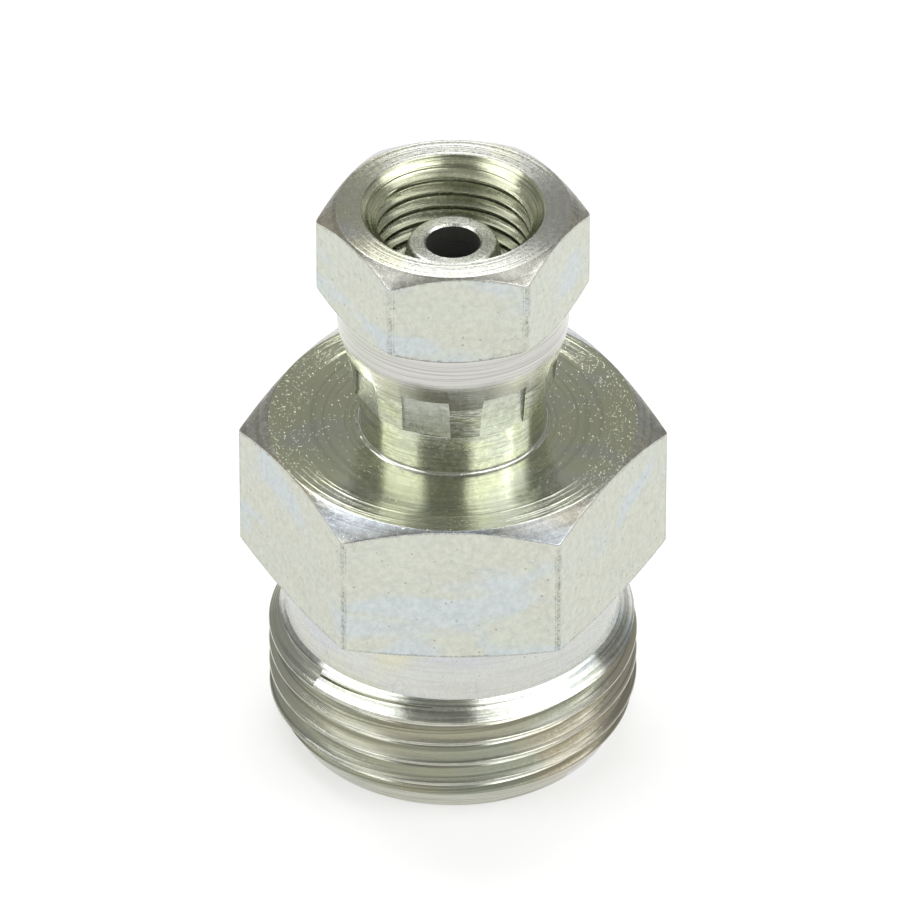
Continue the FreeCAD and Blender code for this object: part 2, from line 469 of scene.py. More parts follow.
def groove_fill(name, start, end, low, high, outer=MALE_MAJOR / 2 - FILL_BELOW_CREST):
    """Fill of the last groove of the male thread, between two azimuths from -Y.

    low and high are heights above the middle of the groove.
    """
    inner = NECK_DIAMETER / 2 - PAST_WALL
    middle = MALE_CREST_AT_FRONT + MALE_PITCH / 2 + start / 360 * MALE_PITCH
    steps = math.ceil((end - start) / FILL_STEP)
    bm = bmesh.new()
    corners = [(inner, low), (outer, low), (outer, high), (inner, high)]
    verts = [bm.verts.new((0, -radius, middle + height)) for radius, height in corners]
    edges = [bm.edges.new(pair) for pair in zip(verts, verts[1:] + verts[:1])]
    rotate(bm, verts, start, "Z")
    bmesh.ops.spin(
        bm, geom=verts + edges, cent=(0, 0, 0), axis=(0, 0, 1), angle=math.radians(end - start),
        dvec=(0, 0, (end - start) / 360 * MALE_PITCH / steps), steps=steps,
    )
    bmesh.ops.holes_fill(bm, edges=[edge for edge in bm.edges if edge.is_boundary], sides=0)
    bmesh.ops.recalc_face_normals(bm, faces=bm.faces)
    return new_object(name, bm)


def male_end():
    """Threaded end, with the lead cone below and the start chamfer above."""
    crest = MALE_MAJOR / 2
    lead = MALE_LEAD_DIAMETER / 2
    lead_high = (crest - lead) / tangent(MALE_LEAD_ANGLE)
    join = MALE_JOIN_DIAMETER / 2
    half_pitch = MALE_PITCH / 2
    slot_end = RUN_OUT_END + RUN_OUT_OVERLAP
    rod = threaded_rod(
        "thread", male_tooth(), MALE_PITCH, -BEYOND, MALE_ROD_HIGH, MALE_CREST_AT_FRONT, BODY_STEPS
    )
    envelope = turned(
        "envelope",
        [
            (0, 0),
            (lead, 0, MALE_LEAD_ROUND),
            (crest + PAST_CREST, lead_high + PAST_CREST / tangent(MALE_LEAD_ANGLE)),
            (crest + PAST_CREST, MALE_THREAD_END - PAST_CREST),
            (join, MALE_THREAD_END + crest - join),
            (join, MALE_JOIN_HIGH),
            (0, MALE_JOIN_HIGH),
        ],
        BODY_STEPS,
    )
    combined(
        rod, "UNION",
        groove_fill("fill below", RUN_OUT_START, slot_end, -half_pitch, -RUN_OUT_SLOT),
        groove_fill("fill above", RUN_OUT_START, slot_end, RUN_OUT_SLOT, half_pitch),
        groove_fill("fill inside", RUN_OUT_START, slot_end, -half_pitch, half_pitch, RUN_OUT_FLOOR),
        groove_fill("fill", RUN_OUT_END, FILLED_END, -half_pitch, half_pitch),
    )
    return combined(rod, "INTERSECT", envelope)


def turned_core():
    """Neck below the hexagon, and stem, groove, collar and nose above it."""
    neck = NECK_DIAMETER / 2
    stem = STEM_DIAMETER / 2
    collar = COLLAR_DIAMETER / 2
    groove = GROOVE_DIAMETER / 2
    tip = NOSE_TIP_DIAMETER / 2
    inside = (BODY_HEX_LOW + BODY_HEX_HIGH) / 2
    nose_foot = tip + (NOSE_TIP - COLLAR_HIGH) * tangent(NOSE_HALF_ANGLE)
    return turned(
        "core",
        [
            (0, MALE_THREAD_END - BEYOND),
            (neck, MALE_THREAD_END - BEYOND),
            (neck, BODY_HEX_LOW - NECK_CORNER_FILL, NECK_CORNER_ROUND),
            (neck + NECK_CORNER_FILL, BODY_HEX_LOW),
            (neck + NECK_CORNER_FILL, inside),
            (stem + STEM_FOOT, inside),
            (stem + STEM_FOOT, BODY_HEX_HIGH),
            (stem, BODY_HEX_HIGH, STEM_FILLET),
            (stem, SHOULDER, SHOULDER_ROUND),
            (groove, SHOULDER),
            (groove, COLLAR_LOW - (collar - groove)),
            (collar, COLLAR_LOW),
            (collar, COLLAR_HIGH, COLLAR_ROUND),
            (nose_foot, COLLAR_HIGH),
            (tip, NOSE_TIP, NOSE_TIP_ROUND),
            (0, NOSE_TIP),
        ],
        BODY_STEPS,
    )


def body_bore():
    """Cone seat, tube socket, drilled bore and flow bore, as the solid to cut away."""
    mouth = SEAT_MOUTH_DIAMETER / 2
    socket = TUBE_DIAMETER / 2
    drill = DRILL_DIAMETER / 2
    flow = FLOW_BORE_DIAMETER / 2
    cone_depth = (mouth - socket) / tangent(SEAT_HALF_ANGLE)
    point = DRILL_DEPTH + (drill - flow) / tangent(DRILL_POINT_HALF_ANGLE)
    return turned(
        "bore",
        [
            (0, -BEYOND),
            (mouth + BEYOND * tangent(SEAT_HALF_ANGLE), -BEYOND),
            (socket, cone_depth),
            (socket, TUBE_SOCKET_DEPTH),
            (drill, TUBE_SOCKET_DEPTH),
            (drill, DRILL_DEPTH),
            (flow, point),
            (flow, NOSE_TIP - FLOW_BORE_CHAMFER),
            (flow + 2 * FLOW_BORE_CHAMFER, NOSE_TIP + FLOW_BORE_CHAMFER),
            (0, NOSE_TIP + FLOW_BORE_CHAMFER),
        ],
        BORE_STEPS,
    )


def adapter_body():
    """Body turned from hexagonal bar: threaded end, neck, hexagon, stem, collar, nose and bore."""
    body = hexagon(
        "turned_body", BODY_AF, BODY_HEX_LOW, BODY_HEX_HIGH, BODY_FACE_INSET,
        BODY_LOWER_ANGLE, BODY_TOP_ANGLE, BODY_CORNER_ROUND, BODY_STEPS,
    )
    combined(body, "UNION", turned_core(), male_end())
    return combined(body, "DIFFERENCE", body_bore())


def nut_skirt():
    """Turned skirt below the nut's hexagon, drawn in to the pressed rim."""
    skirt = SKIRT_DIAMETER / 2
    inside = (NUT_HEX_LOW + NUT_HIGH) / 2
    return turned(
        "skirt",
        [
            (0, NUT_LOW),
            (PRESSED_LOW_DIAMETER / 2, NUT_LOW, RIM_EDGE_ROUND),
            (PRESSED_TOP_DIAMETER / 2, PRESSED_HIGH, SKIRT_BEND),
            (skirt, SKIRT_STRAIGHT_LOW, SKIRT_BEND),
            (skirt, inside),
            (0, inside),
        ],
        NUT_STEPS,
    )


def jaw_block(angle):
    """Block that takes one jaw's flat off the rim."""
    height = 2 * (JAW_HIGH - NUT_LOW)
    bm = bmesh.new()
    bmesh.ops.create_cube(bm, size=1)
    bmesh.ops.scale(bm, vec=(JAW_DEPTH, JAW_WIDTH, height), verts=bm.verts)
    bmesh.ops.translate(bm, vec=(JAW_DEPTH / 2, 0, 0), verts=bm.verts)
    rotate(bm, bm.verts, JAW_FLAT_TILT, "Y")
    bmesh.ops.translate(bm, vec=(JAW_FLAT_LOW_DIAMETER / 2, 0, NUT_LOW), verts=bm.verts)
    rotate(bm, bm.verts, angle, "Z")
    return new_object("jaw", bm)


def nut_bore():
    """Countersink, room for the collar and pressed rim, as the solid to cut away."""
    minor = FEMALE_MINOR / 2 - TAP_PAST_HOLE
    chamber = CHAMBER_DIAMETER / 2
    rim = RIM_DIAMETER / 2
    sink = COUNTERSINK_DIAMETER / 2
    return turned(
        "nut bore",
        [
            (0, NUT_LOW - BEYOND),
            (rim, NUT_LOW - BEYOND),
            (rim, RIM_HIGH),
            (chamber, CHAMBER_LOW),
            (chamber, CHAMBER_HIGH),
            (minor, CHAMBER_HIGH),
            (minor, NUT_HIGH - (sink - minor)),
            (sink + PAST_EDGE, NUT_HIGH + PAST_EDGE),
            (0, NUT_HIGH + PAST_EDGE),
        ],
        NUT_STEPS,
    )


def swivel_nut():
    """Nut turned from hexagonal bar, with its crimped skirt, thread and room for the collar."""
    nut = hexagon(
        "turned_nut", NUT_AF, NUT_HEX_LOW, NUT_HIGH, NUT_FACE_INSET,
        NUT_LOWER_ANGLE, NUT_TOP_ANGLE, NUT_CORNER_ROUND, NUT_STEPS,
    )
    jaws = [jaw_block(JAW_PHASE + 360 / JAW_COUNT * k) for k in range(JAW_COUNT)]
    skirt = break_edges(combined(nut_skirt(), "DIFFERENCE", *jaws), PRESSED_EDGE, PRESSED_TURN)
    tap = threaded_rod(
        "tap", female_tooth(), FEMALE_PITCH, CHAMBER_HIGH - TAP_PAST_CHAMBER, NUT_HIGH + BEYOND,
        FEMALE_CREST_AT_FRONT, NUT_STEPS,
    )
    combined(nut, "UNION", skirt)
    combined(nut, "DIFFERENCE", nut_bore(), tap)
    nut.data.transform(Matrix.Rotation(math.radians(NUT_REST_TURN), 4, "Z"))
    return nut


# Zones, edges and worn lines of a finished piece

def body_zone(face):
    """Finish of a face of the body, from where it lies and how it faces."""
    centre = face.calc_center_median()
    radius = math.hypot(centre.x, centre.y)
    up = face.normal.z
    start_high = MALE_THREAD_END + (MALE_MAJOR - NECK_DIAMETER) / 2
    on_hexagon = BODY_HEX_LOW < centre.z < BODY_HEX_HIGH and radius > BODY_AF / 2 - NEAR
    if on_hexagon and abs(up) < UPRIGHT:
        return "drawn"
    if radius < FLOW_BORE_DIAMETER / 2 + NEAR:
        return "bore"
    if centre.z < BODY_HEX_HIGH - NEAR and radius < SEAT_MOUTH_DIAMETER / 2 + NEAR:
        return "turned" if centre.z < TUBE_SOCKET_DEPTH + NEAR else "bore"
    if centre.z < start_high + NEAR and radius > NECK_DIAMETER / 2 - NEAR / 2:
        if abs(up) < STEEP and radius > MALE_MAJOR / 2 - CREST_DROP:
            return "crest"
        if abs(up - SLANT) < NEAR:
            return "start"
        return "turned" if up < -LEVEL else "thread"
    if centre.z < MALE_THREAD_END:
        return "turned"
    if centre.z < BODY_HEX_LOW - NEAR:
        return "neck"
    if centre.z < BODY_HEX_HIGH + NEAR and radius > STEM_DIAMETER / 2 + STEM_FILLET:
        return "faced" if up > LEVEL else "chamfer"
    return "stem" if centre.z < SHOULDER + NEAR else "nose"


def nut_zone(face):
    """Finish of a face of the nut, from where it lies and how it faces."""
    centre = face.calc_center_median()
    radius = math.hypot(centre.x, centre.y)
    up = face.normal.z
    inward = centre.x * face.normal.x + centre.y * face.normal.y < -FACES_IN
    sink_low = NUT_HIGH - (COUNTERSINK_DIAMETER - FEMALE_MINOR) / 2
    if inward and radius < COUNTERSINK_DIAMETER / 2 + SINK_MARGIN:
        return "sink" if abs(up - SLANT) < NEAR and centre.z > sink_low - NEAR else "tapped"
    if centre.z > NUT_HEX_LOW and abs(up) < UPRIGHT:
        return "drawn"
    if centre.z > NUT_HEX_LOW and up > LEVEL:
        return "nut face"
    if centre.z > NUT_HEX_LOW and up > 0:
        return "chamfer"
    if centre.z < JAW_HIGH and face.calc_area() > JAW_FLAT_AREA:
        return "pressed"
    if inward:
        return "turned"
    return "rim" if centre.z < PRESSED_HIGH + PAST_WALL else "skirt"


def drawn_flats(bm, drawn):
    """The six flats of a hexagon, each made one face; drawn is the number of their finish."""
    level = [
        edge for edge in bm.edges
        if len(edge.link_faces) == 2
        and all(face.material_index == drawn for face in edge.link_faces)
        and edge.calc_face_angle() < math.radians(LEVEL_TURN)
    ]
    bmesh.ops.dissolve_edges(bm, edges=level, use_verts=False)
    return [
        face for face in bm.faces
        if face.material_index == drawn and face.calc_area() > FLAT_AREA
    ]


def turned_over(flats):
    """Edges of the inset flats that run against the outer edges they came from."""
    found = []
    for flat in flats:
        for loop in flat.loops:
            across = loop.link_loop_radial_next
            if len(across.face.verts) != 4:
                continue
            outer = across.link_loop_next.link_loop_next
            way = outer.link_loop_next.vert.co - outer.vert.co
            inner_way = loop.link_loop_next.vert.co - loop.vert.co
            if way.dot(inner_way) < LEAST_LENGTH_KEPT * way.length_squared:
                found.append(loop.edge)
    return found


def wear_edges(bm, wear, drawn, flats, width, corner_wear):
    """Insets the flats, and writes how worn each point of the hexagon is into the layer wear."""
    borders = {vert for flat in flats for vert in flat.verts}
    for face in bm.faces:
        is_corner = face.material_index == drawn and face not in flats
        for loop in face.loops:
            share = WEAR_BESIDE_FLAT if loop.vert in borders else 1.0
            loop[wear] = corner_wear * share if is_corner else 0.0
    outer = set(bm.verts)
    bmesh.ops.inset_individual(bm, faces=flats, thickness=width, depth=0, use_even_offset=False)
    crossed = turned_over(flats)
    while crossed:
        bmesh.ops.collapse(bm, edges=crossed)
        crossed = turned_over(flats)
    strips = {face for flat in flats for edge in flat.edges for face in edge.link_faces}
    for face in strips.difference(flats):
        for loop in face.loops:
            loop[wear] = 1.0 if loop.vert in outer else 0.0


def mark_sharp(bm, flats):
    """Shades edges sharp where the finish changes or the surface turns, and round each flat."""
    for edge in bm.edges:
        kinds = {face.material_index for face in edge.link_faces}
        edge.smooth = len(kinds) == 1 and edge.calc_face_angle(0) < math.radians(SHARP_TURN)
    for face in flats:
        for edge in face.edges:
            edge.smooth = False


def finished(piece, body, node, zone_of, worn_width, corner_wear):
    """Gives each face of a piece its finish, brings it to metres, hangs it under its body and hides its CAD
    part.
    """
    names = list(FINISHES)
    drawn = names.index("drawn")
    piece.data.materials.clear()
    for material in FINISHES.values():
        piece.data.materials.append(material)
    bm = bmesh.new()
    bm.from_mesh(piece.data)
    bm.normal_update()
    wear = bm.loops.layers.float.new("wear")
    for face in bm.faces:
        face.smooth = True
        face.material_index = names.index(zone_of(face))
    flats = drawn_flats(bm, drawn)
    wear_edges(bm, wear, drawn, flats, worn_width, corner_wear)
    mark_sharp(bm, flats)
    bm.to_mesh(piece.data)
    bm.free()
    piece.data.transform(Matrix.Scale(MM, 4))
    # The tangent round the axis is worked out in this space, so its middle lies on the axis
    piece.data.use_auto_texspace = False
    piece.data.texspace_location = (0, 0, 0)
    piece.data.texspace_size = TANGENT_SPACE
    weighted = piece.modifiers.new("weighted normals", "WEIGHTED_NORMAL")
    weighted.keep_sharp = True
    applied(piece)
    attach(piece, body)
    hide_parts(node)


# Building blocks of the finishes

def feed(tree, socket, value):
    """Links a socket to another node's output, or gives it a value of its own."""
    if isinstance(value, bpy.types.NodeSocket):
        tree.links.new(value, socket)
    else:
        socket.default_value = value


def node(tree, kind, inputs=None, **settings):
    """A shader node with its settings, and with values or links given to its inputs."""
    made = tree.nodes.new("ShaderNode" + kind)
    for name, value in settings.items():
        setattr(made, name, value)
    for name, value in (inputs or {}).items():
        feed(tree, made.inputs[name], value)
    return made


def group(name, inputs, outputs):
    """An empty node group with named sockets, and its input and output nodes."""
    tree = bpy.data.node_groups.new(name, "ShaderNodeTree")
    for socket, kind, value in inputs:
        made = tree.interface.new_socket(socket, in_out="INPUT", socket_type="NodeSocket" + kind)
        if value is not None:
            made.default_value = value
    for socket, kind in outputs:
        tree.interface.new_socket(socket, in_out="OUTPUT", socket_type="NodeSocket" + kind)
    return tree, tree.nodes.new("NodeGroupInput").outputs, tree.nodes.new("NodeGroupOutput").inputs


def scaled(tree, vector, factor):
    """A vector or colour times a number."""
    return node(tree, "VectorMath", {0: vector, "Scale": factor}, operation="SCALE").outputs[0]


def vectors(tree, operation, first, second):
    """One step of arithmetic on vectors."""
    return node(tree, "VectorMath", {0: first, 1: second}, operation=operation).outputs[0]


def maths(tree, operation, first, second=0.0, third=0.0):
    """One step of arithmetic on numbers."""
    return node(tree, "Math", {0: first, 1: second, 2: third}, operation=operation).outputs[0]


def remapped(tree, value, low, high, to_low=0.0, to_high=1.0):
    """A value brought from one range to another, eased at both ends."""
    return node(
        tree, "MapRange",
        {"Value": value, "From Min": low, "From Max": high, "To Min": to_low, "To Max": to_high},
        interpolation_type="SMOOTHSTEP",
    ).outputs["Result"]


def mixed(tree, share, first, second):
    """Colour between two others."""
    made = node(tree, "Mix", data_type="RGBA")
    given = {"Factor_Float": share, "A_Color": first, "B_Color": second}
    for socket in made.inputs:
        if socket.identifier in given:
            feed(tree, socket, given[socket.identifier])
    return next(socket for socket in made.outputs if socket.type == "RGBA")


def turning_marks():
    """Heights of the rings that a lathe tool leaves, as a function of radius and height.

    A helix follows the thread where Lead is its pitch, and Wander breaks the rings up. Rings near
    the band radius are deeper by the gain.
    """
    tree, given, result = group(
        "turning marks",
        [
            ("Vector", "Vector", None),
            ("Rings per metre", "Float", 4000.0),
            ("Wander", "Float", 0.05),
            ("Lead", "Float", 0.0),
            ("Band radius", "Float", 0.0),
            ("Band gain", "Float", 0.0),
        ],
        [("Height", "Float"), ("Fine", "Float"), ("Band", "Float")],
    )
    place = node(tree, "SeparateXYZ", {0: given["Vector"]}).outputs
    flat = node(tree, "CombineXYZ", {0: place[0], 1: place[1]}).outputs[0]
    radius = node(tree, "VectorMath", {0: flat}, operation="LENGTH").outputs["Value"]
    turn = maths(tree, "ARCTAN2", place[0], maths(tree, "MULTIPLY", place[1], -1.0))
    climb = maths(tree, "MULTIPLY", maths(tree, "DIVIDE", turn, math.tau), given["Lead"])
    height = maths(tree, "SUBTRACT", place[2], climb)
    rings = node(tree, "CombineXYZ", {0: radius, 1: height}).outputs[0]
    line = vectors(tree, "ADD", rings, scaled(tree, given["Vector"], given["Wander"]))
    on_ring = scaled(tree, line, given["Rings per metre"])
    coarse = node(tree, "TexNoise", {"Vector": on_ring, "Scale": 0.45, "Detail": 1.0}).outputs["Fac"]
    fine = node(tree, "TexNoise", {"Vector": on_ring, "Scale": 1.9, "Detail": 1.0}).outputs["Fac"]
    even = maths(tree, "MULTIPLY_ADD", fine, FINE_RING_SHARE, coarse)
    off = maths(tree, "ABSOLUTE", maths(tree, "SUBTRACT", radius, given["Band radius"]))
    band = remapped(
        tree, off, low=DEEP_RINGS_WITHIN * MM, high=DEEP_RINGS_END * MM,
        to_low=given["Band gain"], to_high=0.0,
    )
    tree.links.new(band, result["Band"])
    tree.links.new(maths(tree, "MULTIPLY_ADD", even, band, even), result["Height"])
    tree.links.new(fine, result["Fine"])
    return tree


def crystals():
    """Crystals of the zinc: facets, each tilted its own way, on a share of the cells."""
    tree, given, result = group(
        "zinc crystals",
        [("Vector", "Vector", None), ("Grains per metre", "Float", 9000.0), ("Amount", "Float", 0.2)],
        [("Height", "Float"), ("Grain", "Float")],
    )
    place = scaled(tree, given["Vector"], given["Grains per metre"])
    cells = node(tree, "TexVoronoi", {"Vector": place, "Scale": 1.0}, feature="F1").outputs
    inside = vectors(tree, "SUBTRACT", place, cells["Position"])
    tilt = vectors(tree, "SUBTRACT", cells["Color"], MIDDLE_COLOUR)
    height = node(tree, "VectorMath", {0: inside, 1: tilt}, operation="DOT_PRODUCT").outputs["Value"]
    other = vectors(tree, "ADD", cells["Position"], OTHER_CELLS)
    chance = node(tree, "TexWhiteNoise", {0: other}, noise_dimensions="3D").outputs["Value"]
    chosen = maths(tree, "LESS_THAN", chance, given["Amount"])
    fall = remapped(tree, cells["Distance"], low=0.15, high=0.45, to_low=1.0, to_high=0.0)
    raised = maths(tree, "MULTIPLY", maths(tree, "MULTIPLY", height, fall), chosen)
    grain = node(tree, "TexNoise", {"Vector": place, "Scale": 0.5, "Detail": 2.0}).outputs["Fac"]
    tree.links.new(raised, result["Height"])
    tree.links.new(grain, result["Grain"])
    return tree


def passivate():
    """Colour of the passivated zinc, which drifts between three tints over the part."""
    tree, given, result = group(
        "passivate",
        [
            ("Vector", "Vector", None),
            ("Patches per metre", "Float", 300.0),
            ("Ground", "Color", (0.7, 0.7, 0.6, 1)),
            ("Second tint", "Color", (0.66, 0.7, 0.66, 1)),
            ("Third tint", "Color", (0.7, 0.68, 0.7, 1)),
        ],
        [("Color", "Color")],
    )
    place = scaled(tree, given["Vector"], given["Patches per metre"])
    drawn_out = vectors(tree, "MULTIPLY", place, PATCH_STRETCH)
    moved = vectors(tree, "ADD", drawn_out, OTHER_PATCHES)
    second = node(
        tree, "TexNoise", {"Vector": drawn_out, "Scale": 1.0, "Detail": 3.0, "Distortion": 0.8}
    ).outputs["Fac"]
    third = node(
        tree, "TexNoise", {"Vector": moved, "Scale": 0.7, "Detail": 3.0, "Distortion": 0.6}
    ).outputs["Fac"]
    colour = mixed(tree, remapped(tree, second, low=0.44, high=0.62), given["Ground"], given["Second tint"])
    colour = mixed(tree, remapped(tree, third, low=0.52, high=0.64), colour, given["Third tint"])
    tree.links.new(colour, result["Color"])
    return tree


def pits():
    """Small dark pits, and hairline cracks here and there, as a mask."""
    tree, given, result = group(
        "pits",
        [("Vector", "Vector", None), ("Amount", "Float", 0.2)],
        [("Mask", "Float"), ("Mottle", "Float")],
    )
    place = scaled(tree, given["Vector"], PIT_CELLS_PER_METRE)
    cells = node(tree, "TexVoronoi", {"Vector": place, "Scale": 1.0}, feature="F1").outputs
    chance = node(tree, "SeparateColor", {0: cells["Color"]}).outputs[0]
    cluster = node(tree, "TexNoise", {"Vector": place, "Scale": 0.2, "Detail": 2.0}).outputs["Fac"]
    few = maths(
        tree, "MULTIPLY", given["Amount"], remapped(tree, cluster, low=0.4, high=0.65, to_low=0.1)
    )
    size = remapped(tree, chance, low=0.0, high=few, to_low=0.26, to_high=-0.1)
    rough = node(tree, "TexNoise", {"Vector": place, "Scale": 3.0, "Detail": 2.0}).outputs["Fac"]
    reach = maths(tree, "MULTIPLY_ADD", rough, PIT_RAGGED, cells["Distance"])
    past = maths(tree, "SUBTRACT", reach, maths(tree, "ADD", size, PIT_LEAST))
    pit = remapped(tree, past, low=0.0, high=0.12, to_low=1.0, to_high=0.0)
    bent = node(tree, "TexNoise", {"Vector": place, "Scale": 0.35, "Detail": 3.0}).outputs["Color"]
    warped = node(
        tree, "VectorMath", {0: bent, 1: CRACK_BEND, 2: place}, operation="MULTIPLY_ADD"
    ).outputs[0]
    cracks = node(tree, "TexVoronoi", {"Vector": warped, "Scale": 0.16}, feature="DISTANCE_TO_EDGE")
    line = remapped(tree, cracks.outputs["Distance"], low=0.004, high=0.02, to_low=0.35, to_high=0.0)
    where = node(tree, "TexNoise", {"Vector": place, "Scale": 0.12, "Detail": 1.0}).outputs["Fac"]
    line = maths(tree, "MULTIPLY", line, remapped(tree, where, low=0.56, high=0.64))
    mottle = node(tree, "TexNoise", {"Vector": place, "Scale": 0.9, "Detail": 4.0, "Roughness": 0.7})
    tree.links.new(maths(tree, "MAXIMUM", pit, line), result["Mask"])
    tree.links.new(mottle.outputs["Fac"], result["Mottle"])
    return tree


def worn_edge():
    """Ragged dark line along the edges of a flat, as a mask."""
    tree, given, result = group("worn edge", [("Vector", "Vector", None)], [("Mask", "Float")])
    wear = node(tree, "Attribute", attribute_name="wear").outputs["Fac"]
    place = scaled(tree, given["Vector"], WEAR_DOTS_PER_METRE)
    noise = node(tree, "TexNoise", {"Vector": place, "Scale": 1.0, "Detail": 3.0, "Roughness": 0.7})
    coarse = node(tree, "TexNoise", {"Vector": place, "Scale": 0.15, "Detail": 1.0}).outputs["Fac"]
    dots = node(tree, "TexNoise", {"Vector": place, "Scale": 1.6, "Detail": 2.0}).outputs["Fac"]
    uneven = maths(tree, "MULTIPLY_ADD", noise.outputs["Fac"], WEAR_RAGGED, coarse)
    ragged = maths(tree, "ADD", uneven, maths(tree, "MULTIPLY", wear, WEAR_WEIGHT))
    mask = maths(
        tree, "MULTIPLY", remapped(tree, ragged, low=2.1, high=2.7),
        remapped(tree, dots, low=0.42, high=0.58, to_low=0.25),
    )
    tree.links.new(mask, result["Mask"])
    return tree


GROUPS = {
    "marks": turning_marks(),
    "crystals": crystals(),
    "passivate": passivate(),
    "pits": pits(),
    "edge": worn_edge(),
}


def placed(tree, name, inputs):
    """Outputs of one of the groups, placed with its own values."""
    made = tree.nodes.new("ShaderNodeGroup")
    made.node_tree = GROUPS[name]
    for key, value in inputs.items():
        feed(tree, made.inputs[key], value)
    return made.outputs


def new_metal(name):
    """A new metal: its material, node tree and shader, and the place on the piece."""
    material = bpy.data.materials.new(name)
    material.use_nodes = True
    tree = material.node_tree
    shader = tree.nodes["Principled BSDF"].inputs
    shader["Metallic"].default_value = 1.0
    return material, tree, shader, node(tree, "TexCoord").outputs["Object"]


def zinc(
    name, tints, roughness, rings=4000.0, depth=0.0, wander=0.05, lead=0.0, shade=0.0,
    grains=9000.0, facets=0.0, sparkle=0.2, pitted=0.0, mottle=0.0, edge=0.0, patches=300.0,
    across=0.0, band=(0.0, 0.0),
):
    """Zinc-plated steel.

    depth is the height of the turning rings and facets that of the crystals, both in mm. shade
    darkens some rings, mottle and pitted darken spots, and edge darkens the worn edges of a flat.
    across spreads highlights across the rings, and band is the radius in mm and the gain of
    deeper ones.
    """
    material, tree, shader, where = new_metal(name)
    ground, second, third = ((*tint, 1) for tint in tints)
    colour = placed(
        tree, "passivate",
        {
            "Vector": where, "Patches per metre": patches,
            "Ground": ground, "Second tint": second, "Third tint": third,
        },
    )["Color"]
    light = 1.0
    bumps = []
    if depth:
        band_radius, band_gain = band
        marks = placed(
            tree, "marks",
            {
                "Vector": where, "Rings per metre": rings, "Wander": wander, "Lead": lead * MM,
                "Band radius": band_radius * MM, "Band gain": band_gain,
            },
        )
        light = remapped(tree, marks["Height"], low=0.53, high=0.72, to_low=1 - shade)
        bumps.append((marks["Height"], depth))
        if band_gain:
            more = sparkle * DEEP_RINGS_SPARKLE
            sparkle = maths(tree, "MULTIPLY_ADD", marks["Band"], more, sparkle)
    grain = placed(tree, "crystals", {"Vector": where, "Grains per metre": grains, "Amount": sparkle})
    if facets:
        bumps.append((grain["Height"], facets))
    if pitted or mottle:
        spots = placed(tree, "pits", {"Vector": where, "Amount": pitted})
        cloud = remapped(
            tree, spots["Mottle"], low=0.3, high=0.7, to_low=1 - mottle, to_high=1 + mottle
        )
        dark = maths(tree, "MULTIPLY_ADD", spots["Mask"], -PIT_DARKNESS, 1.0)
        light = maths(tree, "MULTIPLY", maths(tree, "MULTIPLY", light, cloud), dark)
    if edge:
        worn = placed(tree, "edge", {"Vector": where})["Mask"]
        light = maths(tree, "MULTIPLY", light, maths(tree, "MULTIPLY_ADD", worn, -edge, 1.0))
    tree.links.new(scaled(tree, colour, light), shader["Base Color"])
    rough = remapped(
        tree, grain["Grain"], low=0.3, high=0.7,
        to_low=roughness * SMOOTHEST, to_high=roughness * ROUGHEST,
    )
    tree.links.new(rough, shader["Roughness"])
    normal = None
    for height, distance in bumps:
        bump = node(tree, "Bump", {"Height": height, "Distance": distance * MM, "Strength": 1.0})
        if normal:
            tree.links.new(normal, bump.inputs["Normal"])
        normal = bump.outputs["Normal"]
    tree.links.new(normal, shader["Normal"])
    if across:
        shader["Anisotropic"].default_value = across
        shader["Anisotropic Rotation"].default_value = QUARTER_TURN
        around = node(tree, "Tangent", direction_type="RADIAL", axis="Z")
        tree.links.new(around.outputs["Tangent"], shader["Tangent"])
    return material


def dark_bore():
    """Bare steel of the bores, dark grey and lighter along some rings."""
    material, tree, shader, where = new_metal("dark bore")
    marks = placed(tree, "marks", {"Vector": where, "Rings per metre": 5000.0, "Wander": 0.02})
    colour = mixed(tree, marks["Fine"], (*BORE_DARK, 1), (*BARE, 1))
    bump = node(tree, "Bump", {"Height": marks["Height"], "Distance": BORE_RING_DEPTH * MM})
    tree.links.new(colour, shader["Base Color"])
    tree.links.new(bump.outputs["Normal"], shader["Normal"])
    shader["Roughness"].default_value = BORE_ROUGHNESS
    return material


# Tints of the zinc and of the steel in the bores, and the finishes of the zones

BORE_RING_DEPTH = 0.012
BORE_ROUGHNESS = 0.4
BORE_DARK = (0.3, 0.3, 0.29)
BARE = (0.5, 0.5, 0.48)
PALE = (0.57, 0.59, 0.52)
CREAM = (0.62, 0.62, 0.50)
GREEN = (0.575, 0.585, 0.51)
GREY = (0.59, 0.59, 0.57)
WARM = (0.60, 0.60, 0.51)
# Darker tint of the thread crests: painted shade that dims the lamp highlights on them
CREST_SHADE = (0.48, 0.48, 0.42)
ROSE = (0.58, 0.572, 0.545)
OLIVE = (0.60, 0.62, 0.47)
BRASSY = (0.55, 0.57, 0.41)
BROWN = (0.60, 0.57, 0.47)
BLUE = (0.545, 0.59, 0.595)
BLUISH = (0.49, 0.53, 0.57)
DULL = (0.53, 0.525, 0.48)
SKY = (0.57, 0.585, 0.60)
CLEAR = (0.60, 0.61, 0.565)
SCUFFED = (0.53, 0.55, 0.49)

